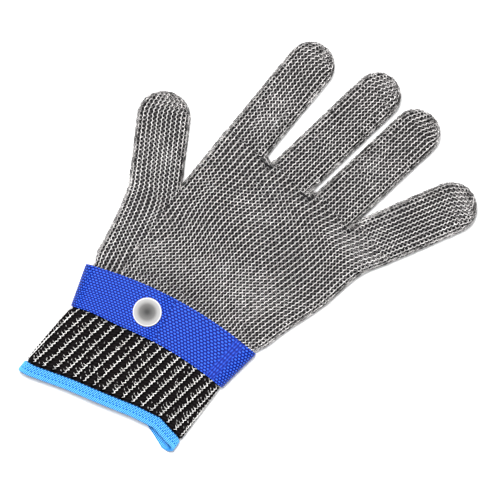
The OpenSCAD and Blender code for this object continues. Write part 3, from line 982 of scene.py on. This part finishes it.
def strap_place(a, w):
    """Plan position at a distance round the bow and w across the strap, whose folded ends lie askew."""
    half = STRAP_W / 2
    left = soft((LEFT_BEND * STRAP_BOW + ASKEW_LENGTH - a) / ASKEW_LENGTH)
    right = soft((a - RIGHT_BEND * STRAP_BOW + ASKEW_LENGTH) / ASKEW_LENGTH)
    shift = LEFT_SKEW * left * w / half + RIGHT_SKEW * right * (1 + w / half)
    return bow_place((a + shift) / STRAP_BOW, w * np.where(w < 0, 1 - LEFT_TAPER * left, 1))


def webbing(name, path, weave_scale, sewn_from=None):
    """Webbing along a path: woven on its outside, rounded at its edges, plain inside."""
    s, a, z, normal = path
    half = STRAP_W / 2
    edge = WEBBING_T / 2
    outer = np.arange(-half + edge, half - edge + 0.01, 0.33)
    turn = np.linspace(math.pi / 2, -math.pi / 2, 6)[1:-1]
    inner = np.linspace(half - edge, -half + edge, 12)
    side = half - edge + edge * np.cos(turn)
    w = np.concatenate([outer, side, inner, -side])
    base = np.concatenate([np.zeros(len(outer)), edge * (np.sin(turn) - 1),
                           np.full(len(inner), -WEBBING_T), -edge * (1 + np.sin(turn))])
    S, W = np.meshgrid(s, w, indexing="ij")
    relief_and_painted_light = weave(S, W, WEAVE_ALONG * weave_scale, WEAVE_ACROSS * weave_scale)
    outside = (base > -edge).astype(float)[None, :]
    if sewn_from is not None:
        sewn = 0.8 * soft((S - sewn_from[0]) / 2) * soft((sewn_from[1] - S) / 2)
        ridges = (0.1 + 0.75 * np.abs(np.sin(math.pi * S / 1.6))) * (0.8 + 0.2 * np.sin(W * 2.2))
        relief_and_painted_light = relief_and_painted_light * (1 - sewn) + ridges * sewn
    h = base[None, :] - WEAVE_H * (1 - relief_and_painted_light) * outside
    plan = strap_place(a[:, None] + normal[:, 0:1] * h, W)
    vertices = lift(plan, z[:, None] + normal[:, 1:2] * h).reshape(-1, 3)
    caps = [np.arange(len(w)), np.arange(len(w))[::-1] + (len(s) - 1) * len(w)]
    piece = mesh_object(name, vertices, grid_quads(len(s), len(w), wrap=True)[:, ::-1], WEBBING, caps)
    # Painted shade in the weave's hollows and a painted highlight on its floats; the inside a plain dark
    # tone
    carry_painted_light(piece, 0.15 + 0.85 * relief_and_painted_light * outside + 0.2 * (1 - outside))
    return piece


def fold(centre_a, centre_z, half_a, half_z, start, end):
    """A bend of the webbing, as part of an ellipse."""
    turn = np.linspace(start, end, 40)
    return centre_a + half_a * np.sin(turn), centre_z + half_z * np.cos(turn)


def flat_leg(start, end, z):
    a = np.linspace(start, end, 60) * STRAP_BOW
    return a, np.full_like(a, z)


def make_strap():
    """The band, from its lower end at the snap round the wrist to the left fold, and the flap over it."""
    top, bottom = 2 * MID_Z - 0.02, 0.03
    flap_z = top + FLAP_LIFT
    right_a, left_a = RIGHT_BEND * STRAP_BOW, LEFT_BEND * STRAP_BOW
    left_fold = (left_a, flap_z / 2, MID_Z + 0.3, flap_z / 2 - bottom)
    fold_at = 2 * math.pi - FOLD_TURN
    path = strap_path([flat_leg(UNDERLAP_END, RIGHT_BEND, top),
                       fold(right_a, MID_Z, MID_Z, MID_Z - bottom, 0, math.pi),
                       flat_leg(RIGHT_BEND, LEFT_BEND, bottom), fold(*left_fold, math.pi, fold_at)])
    band = webbing("strap_band_webbing", path, 1.0, [(angle - UNDERLAP_END) * STRAP_BOW for angle in SEWN])
    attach(band, "palm")
    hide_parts("strap_band")
    a, z = flat_leg(LEFT_BEND, FLAP_END, flap_z)
    z = z - FLAP_DROP * soft((a - FLAP_END * STRAP_BOW + 8) / 8)
    flap_path = strap_path([fold(*left_fold, fold_at - 0.02, 2 * math.pi), (a, z)])
    flap = webbing("strap_flap_webbing", flap_path, 0.9)
    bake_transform(flap)
    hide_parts("strap_flap")


def yarns(points, radius, sides=5):
    """Vertices and quads of thin round yarns through points, an array of (yarns, points, 3)."""
    ahead = unit(np.gradient(points, axis=1))
    side = unit(np.cross(ahead, np.broadcast_to([0.0, 0.0, 1.0], ahead.shape) + 1e-3))
    up = np.cross(side, ahead)
    turn = (np.arange(sides) * 2 * math.pi / sides)[:, None]
    taper = np.ones((points.shape[1], 1, 1))
    taper[[0, -1]] = 0.35
    ring = np.cos(turn) * side[:, :, None, :] + np.sin(turn) * up[:, :, None, :]
    vertices = points[:, :, None, :] + radius * taper * ring
    per_yarn = grid_quads(points.shape[1], sides, wrap=True)
    offsets = np.arange(len(points)) * points.shape[1] * sides
    return vertices.reshape(-1, 3), (per_yarn[None] + offsets[:, None, None]).reshape(-1, 4)


# Bar stitches: the rows they stand in, how many to a row, their length and the webbing left free
STITCH_ROWS = (math.radians(9.6), math.radians(11))
STITCHES = 9
STITCH_LENGTH = 1.9
STITCH_MARGIN = 2.0


def make_stitching():
    """Two rows of bar stitches across the webbing."""
    pitch = (STRAP_W - 2 * STITCH_MARGIN) / STITCHES
    along = np.linspace(-STITCH_LENGTH / 2, STITCH_LENGTH / 2, 5)
    rise = 0.25 * np.sin(np.linspace(0, math.pi, 5))
    bars = []
    for angle in STITCH_ROWS:
        for place in range(STITCHES):
            w = (place - (STITCHES - 1) / 2) * pitch + along
            bars.append(lift(strap_place(np.full(5, angle * STRAP_BOW), w), 2 * MID_Z + rise))
    vertices, quads = yarns(np.array(bars), 0.3)
    piece = mesh_object("strap_stitching_thread", vertices, quads, BLUE_THREAD)
    carry_painted_light(piece, np.full(len(vertices), 0.5))
    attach(piece, "palm")
    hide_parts("strap_stitching")


# ---------------------------------------------------------------- snap fastener

SNAP_ANGLE = math.radians(-2.4)
CAP_SEGMENTS = 72
CAP_H = 2.6
# Depths below the cap's top: of its dish by radius, and of its rim by distance in from the edge
CAP_DISH = [(0.05, 0.5), (1.2, 0.48), (2.4, 0.4), (3.6, 0.27), (4.8, 0.14), (6, 0.04), (7, 0)]
CAP_RIM = [(0.8, 0.01), (0.5, 0.1), (0.2, 0.4), (0.08, 0.9), (0, 1.5)]
# Painted light on the cap by radius: painted shade in its middle, a painted highlight at its rim
CAP_PAINTED_LIGHT = ([0, 1.2, 4.4, 6, 7.7, 8, 8.3], [0, 0.06, 0.42, 0.6, 0.7, 1.0, 1.0])


def make_cap():
    """The cap: a rolled rim, a shoulder and a shallow dimple, with painted shade towards its middle and a
    painted highlight at its rim.
    """
    low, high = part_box("snap_cap")
    radius, top = (high.x - low.x) / MM / 2, high.z / MM
    foot = top - CAP_H
    profile = np.array(
        [(x, top - depth) for x, depth in CAP_DISH] + [(radius - x, top - depth) for x, depth in CAP_RIM]
        + [(radius - 0.1, foot + 0.4), (radius - 0.5, foot), (0.05, foot)])
    turn = np.arange(CAP_SEGMENTS) * 2 * math.pi / CAP_SEGMENTS
    around = np.stack([np.cos(turn), np.sin(turn)], axis=-1)
    plan = bow_place(SNAP_ANGLE, 0.0) + profile[:, 0, None, None] * around
    z = np.broadcast_to(profile[:, 1:2], plan.shape[:2])
    piece = mesh_object("snap_cap_nickel", lift(plan, z).reshape(-1, 3),
                        grid_quads(len(profile), CAP_SEGMENTS, wrap=True)[:, ::-1], NICKEL)
    # The cap's painted shade and highlight, by radius
    carry_painted_light(piece, np.repeat(np.interp(profile[:, 0], *CAP_PAINTED_LIGHT), CAP_SEGMENTS))
    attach(piece, "flap")
    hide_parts("snap_cap")


def dress_snap():
    for node in ("snap_socket", "snap_stud", "snap_eyelet"):
        data = frame["nodes"][node].data
        data.materials.clear()
        data.materials.append(PLAIN_NICKEL)


# ---------------------------------------------------------------- cuff

CUFF_JOINT = next(j for j in frame["joints"] if j["child"] == "cuff")
# Radius of the cuff's sides, pitch of its ribs and courses, and the hem's width and thread pitch
CUFF_R = 6.6
RIB = 5.9
COURSE = 1.75
HEM_W = 7.0
THREAD_PITCH = 1.0
# Radii of the silver yarn in the valleys, of its barbs and of the flecks between
LINE_R, BARB_R, FLECK_R = 0.27, 0.15, 0.13
# The knit's relief comes up within 1 / FADE of its length, and the silver yarn out of its depth there
FADE = 12
YARN_DEPTH = 1.3
# Height of the knit's lumps, and depth of its valleys below the cuff's middle surface
LUMP_H = 1.5
VALLEY = 0.95
# How far a barb reaches, the share of barbs left out, and the share followed by a fleck
BARB_REACH = 1.7
BARBS_MISSING = 0.08
FLECKS = 0.35
FLECK_RISE = np.array([0.1, 0.55, 0.55, 0.1])
# Share of the cuff's length at which the hem covers it
HEM_TOP = 0.85
TWIST = 7.5
# The cuff's flat width, the X of its left side, its rough width along X, and the X of its right side
# by distance below the strap's middle
CUFF_W = 97.5
CUFF_LEFT = -47.0
ROUGH_W = 99
CUFF_RIGHT = ((0, 92.4), (49.5, 54))
# The knit's length, and how far it reaches under the strap and stays short of the mouth
KNIT_LENGTH = 42.0
KNIT_UNDER = 2.5
KNIT_SHORT = 1.5
# Edge of the mouth's upper and lower layers, as X then Y. The lower one hangs out at the right.
MOUTH_TOP = np.array([
    (-48, -78.2), (-41, -76.8), (-20, -69.2), (0, -63.3), (20, -57), (35, -53.6), (45, -55.1), (52, -55.8),
    (55, -56.4)
])
MOUTH_BACK = np.array([
    (-48, -78.2), (-41, -76.8), (-20, -69), (0, -63.2), (24, -56), (31.6, -55.4), (38, -57.4), (46.3, -60.3),
    (51, -59.8), (55, -56.6)
])


def cuff_grid(count, distances, from_strap):
    """Points and normals on the cuff, distances round it, and its lap.

    The rows' distances are shares from the strap's edge, or millimetres up from the mouth's edge.
    """
    flat = CUFF_W - 2 * CUFF_R
    lap = 2 * flat + 2 * math.pi * CUFF_R
    p = np.arange(count) / count * lap
    u, z, normal = tube_section(p, flat, CUFF_R)
    across = 0.5 + u / CUFF_W
    rough_x = CUFF_LEFT + across * ROUGH_W
    side = soft(np.clip(z / CUFF_R, -1, 1) * 0.5 + 0.5)
    mouth = np.interp(rough_x, *MOUTH_TOP.T) * side + np.interp(rough_x, *MOUTH_BACK.T) * (1 - side)
    strap = strap_edge(rough_x, False)
    points = []
    for d in distances:
        if from_strap:
            y = strap + KNIT_UNDER + (mouth + KNIT_SHORT - strap - KNIT_UNDER) * d
        else:
            y = mouth + d
        x = CUFF_LEFT + (np.interp(-y, *CUFF_RIGHT) - CUFF_LEFT) * across
        below = strap - y
        thin = 1 - 0.2 * (1 - soft((below + 1) / 9))
        sag = 0.45 * soft((mouth + 16 - y) / 16) * soft((x - 26) / 14) * (z > 0)
        wave = 0.5 * np.sin(x / 13 + 1) * soft(below / 12) * (z > 0)
        points.append(np.stack([x, y, MID_Z + z * thin + wave - sag], axis=-1))
    points = np.array(points)
    normals = np.stack([normal[:, 0], np.zeros(count), normal[:, 1]], axis=-1)
    return points, np.broadcast_to(normals, points.shape), p, lap


def blend_cuff(piece):
    axis = np.array(CUFF_JOINT["axis"])
    out = np.array([-axis[1], axis[0], 0.0])
    out = out * np.sign(-out[1])
    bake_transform(piece)


def make_cuff():
    """Black rib knit: stacks of slanting lumps, with a silver yarn running down every valley."""
    count, rows = 560, 112
    shares = np.linspace(0, 1, rows)
    points, normals, p, lap = cuff_grid(count, shares, True)
    columns = int(round(lap / RIB))
    rib = lap / columns
    across = ((p[None, :] + TWIST * (shares[:, None] - 0.5)) / rib) % 1
    course = shares[:, None] * KNIT_LENGTH / COURSE + 0.9 * across
    lump = np.sqrt(np.clip(1 - ((across - 0.5) / 0.42) ** 2, 0, 1))
    stack = np.sqrt(np.clip(1 - ((course % 1 - 0.5) / 0.5) ** 2, 0, 1))
    relief_and_painted_light = lump * (0.35 + 0.65 * stack)
    fade = soft(shares[:, None] * FADE) * soft((HEM_TOP + 0.03 - shares[:, None]) * 20)
    vertices = points + normals * (LUMP_H * relief_and_painted_light * fade - VALLEY)[..., None]
    quads = grid_quads(rows, count, wrap=True)[:, ::-1]
    knit = mesh_object("cuff_rib_knit", vertices.reshape(-1, 3), quads, CUFF_YARN)
    # Painted shade in the knit's valleys, by the height of its lumps
    carry_painted_light(knit, relief_and_painted_light)
    blend_cuff(knit)
    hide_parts("cuff_knit", "cuff_root")
    make_silver_yarn(points, normals, lap, rib, columns)


def between(grid, row, column):
    """Values of a grid at fractional rows and columns. Its columns go round."""
    rows, columns = grid.shape[:2]
    r, c = np.floor(row).astype(int), np.floor(column).astype(int)
    below, right = np.minimum(r + 1, rows - 1), (c + 1) % columns
    c = c % columns
    down, over = (row - r)[..., None], (column - np.floor(column))[..., None]
    upper = grid[r, c] * (1 - over) + grid[r, right] * over
    return upper * (1 - down) + (grid[below, c] * (1 - over) + grid[below, right] * over) * down


def make_silver_yarn(points, normals, lap, rib, columns):
    """Zigzags down the valleys, with a barb out of each bend that crosses part of a lump."""
    rows, count = points.shape[:2]

    def on_cuff(share, place, rise):
        """Points on the cuff at shares down it and places round it, raised along the normal."""
        row, column = np.clip(share, 0, 1) * (rows - 1), (place / lap * count) % count
        sunk = YARN_DEPTH * (1 - soft(share * FADE))
        return between(points, row, column) + between(normals, row, column) * (rise - sunk)[..., None]

    courses = int(HEM_TOP * KNIT_LENGTH / COURSE)
    steps = np.arange(2 * courses + 1)
    even = steps % 2 == 0
    share = HEM_TOP * steps / (2 * courses)
    lines, barbs, flecks = [], [], []
    for column in range(columns):
        valley = column * rib
        place = valley - TWIST * (share - 0.5) + np.where(even, -0.55, 0.45)
        lines.append(on_cuff(share, place + RNG.normal(0, 0.12, len(steps)), np.where(even, 0.0, 0.25)))
        for k in range(courses):
            if RNG.random() < BARBS_MISSING:
                continue
            at = HEM_TOP * (k + 0.5) / courses
            twist = TWIST * (at - 0.5)
            reach = BARB_REACH + RNG.normal(0, 0.45)
            t = np.linspace(0, 1, 5)
            bar_share = at - t * (0.65 + RNG.normal(0, 0.15)) / courses
            bar_place = valley - twist + 0.4 - t * (reach + 0.6)
            barbs.append(on_cuff(bar_share, bar_place, 0.25 + 0.35 * np.sin(math.pi * t)))
            if RNG.random() < FLECKS:
                fleck_share = at + np.linspace(-0.25, 0.25, 4) / courses
                middle = valley + rib * (0.5 + RNG.normal(0, 0.07)) - twist
                flecks.append(on_cuff(fleck_share, middle + np.linspace(-0.5, 0.4, 4), FLECK_RISE))
    vertices, quads = yarns(np.array(lines), LINE_R)
    for group, radius in ((barbs, BARB_R), (flecks, FLECK_R)):
        more, more_quads = yarns(np.array(group), radius, 4)
        quads = np.vstack([quads, more_quads + len(vertices)])
        vertices = np.vstack([vertices, more])
    yarn = mesh_object("cuff_silver_yarn", vertices, quads, SILVER_YARN)
    blend_cuff(yarn)


def make_hem():
    """The overlocked edging: fine ribs of thread that wrap the mouth's edge, inside and out."""
    count, half = 1300, 0.9
    outer = np.linspace(HEM_W, 0.8, 20)
    inner = outer[::-1][::2]
    turn = np.linspace(0, math.pi, 7)[1:-1]
    rows = np.concatenate([outer, 0.8 - half * np.sin(turn), inner])
    points, normals, p, lap = cuff_grid(count, rows, False)
    depth = np.full(len(outer), 0.45)
    depth[:2] = -0.5, 0.2
    depth = np.concatenate([depth, 0.45 - half + half * np.cos(turn), np.full(len(inner), 0.45 - 2 * half)])
    slant = np.linspace(0, 1.6, len(rows))[:, None]
    phase = p[None, :] / lap * int(lap / THREAD_PITCH) + slant
    ridge = np.abs(np.sin(math.pi * phase)) ** 1.4
    row = np.arange(len(rows))[:, None]
    pits = (np.sin(phase * math.pi + row // 4 * 2.1) > 0.4) * (row < len(outer) - 5) * (row % 4 < 2)
    relief_and_painted_light = np.clip(ridge - 0.8 * pits, 0, 1)
    vertices = points + normals * (depth[:, None] + 0.55 * (relief_and_painted_light - 1) + 0.25)[..., None]
    quads = grid_quads(len(rows), count, wrap=True)[:, ::-1]
    piece = mesh_object("cuff_hem_thread", vertices.reshape(-1, 3), quads, HEM)
    # Painted shade in the hem's pits and hollows, a painted highlight on its ridges
    carry_painted_light(piece, 0.15 + 0.85 * relief_and_painted_light)
    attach(piece, "cuff")
    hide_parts("cuff_hem")


make_palm_mail()
make_palm_liner()
for finger in [THUMB, *LONG_FINGERS]:
    make_finger_mail(finger)
    make_finger_liner(finger)
make_strap()
make_stitching()
make_cap()
dress_snap()
make_cuff()
make_hem()


# ---------------------------------------------------------------- scene

FLOOR_HALF = 3000
FLOOR_Z = -0.2
LIGHTS_AIM = (0, 0.05, 0)
# The camera's height and turn, the width of its view and its place in plan
CAMERA_Z = 1.6
CAMERA_TURN = math.radians(39.5)
CAMERA_FIELD = 0.2942
CAMERA_PLACE = (0.0129, 0.0623)


def area_light(name, place, energy, size):
    data = bpy.data.lights.new(name, "AREA")
    data.energy = energy
    data.size = size
    light = bpy.data.objects.new(name, data)
    light.location = place
    light.rotation_euler = (Vector(LIGHTS_AIM) - Vector(place)).to_track_quat("-Z", "Y").to_euler()
    bpy.context.scene.collection.objects.link(light)


def make_scene():
    """Pale floor, soft key and fill lights, and a sky that is bright only near its top."""
    world = bpy.data.worlds.new("studio")
    bpy.context.scene.world = world
    world.use_nodes = True
    tree = world.node_tree
    coordinates = tree.nodes.new("ShaderNodeTexCoord")
    parts = tree.nodes.new("ShaderNodeSeparateXYZ")
    tree.links.new(coordinates.outputs["Generated"], parts.inputs["Vector"])
    ramp(tree, parts.outputs["Z"], [(0.0, (0.1, 0.1, 0.1)), (0.55, (0.25, 0.25, 0.25)), (0.9, (1, 1, 1))],
         tree.nodes["Background"].inputs["Color"])
    tree.nodes["Background"].inputs["Strength"].default_value = 0.36
    area_light("key", (-0.16, 0.16, 1.15), 23, 0.3)
    area_light("fill", (0.5, -0.2, 0.9), 2.5, 0.6)
    floor_material, tree, shader = new_material("floor", roughness=0.9, base=(0.9, 0.9, 0.9))
    spread(tree, noise(tree, 3), 0.85, 0.95, shader.inputs["Roughness"])
    corners = [(x * FLOOR_HALF, y * FLOOR_HALF, FLOOR_Z) for x, y in ((-1, -1), (1, -1), (1, 1), (-1, 1))]
    mesh_object("floor", corners, [(0, 1, 2, 3)], floor_material)


def make_camera():
    """Straight above the glove, turned so that the fingers point up and to the right."""
    data = bpy.data.cameras.new("camera")
    data.sensor_width = 36
    data.lens = data.sensor_width * CAMERA_Z / CAMERA_FIELD
    camera = bpy.data.objects.new("camera", data)
    camera.location = (*CAMERA_PLACE, CAMERA_Z)
    camera.rotation_euler = (0, 0, CAMERA_TURN)
    bpy.context.scene.collection.objects.link(camera)
    bpy.context.scene.camera = camera


make_scene()
make_camera()
# Plain display colours, without a film curve
bpy.context.scene.view_settings.view_transform = "Standard"
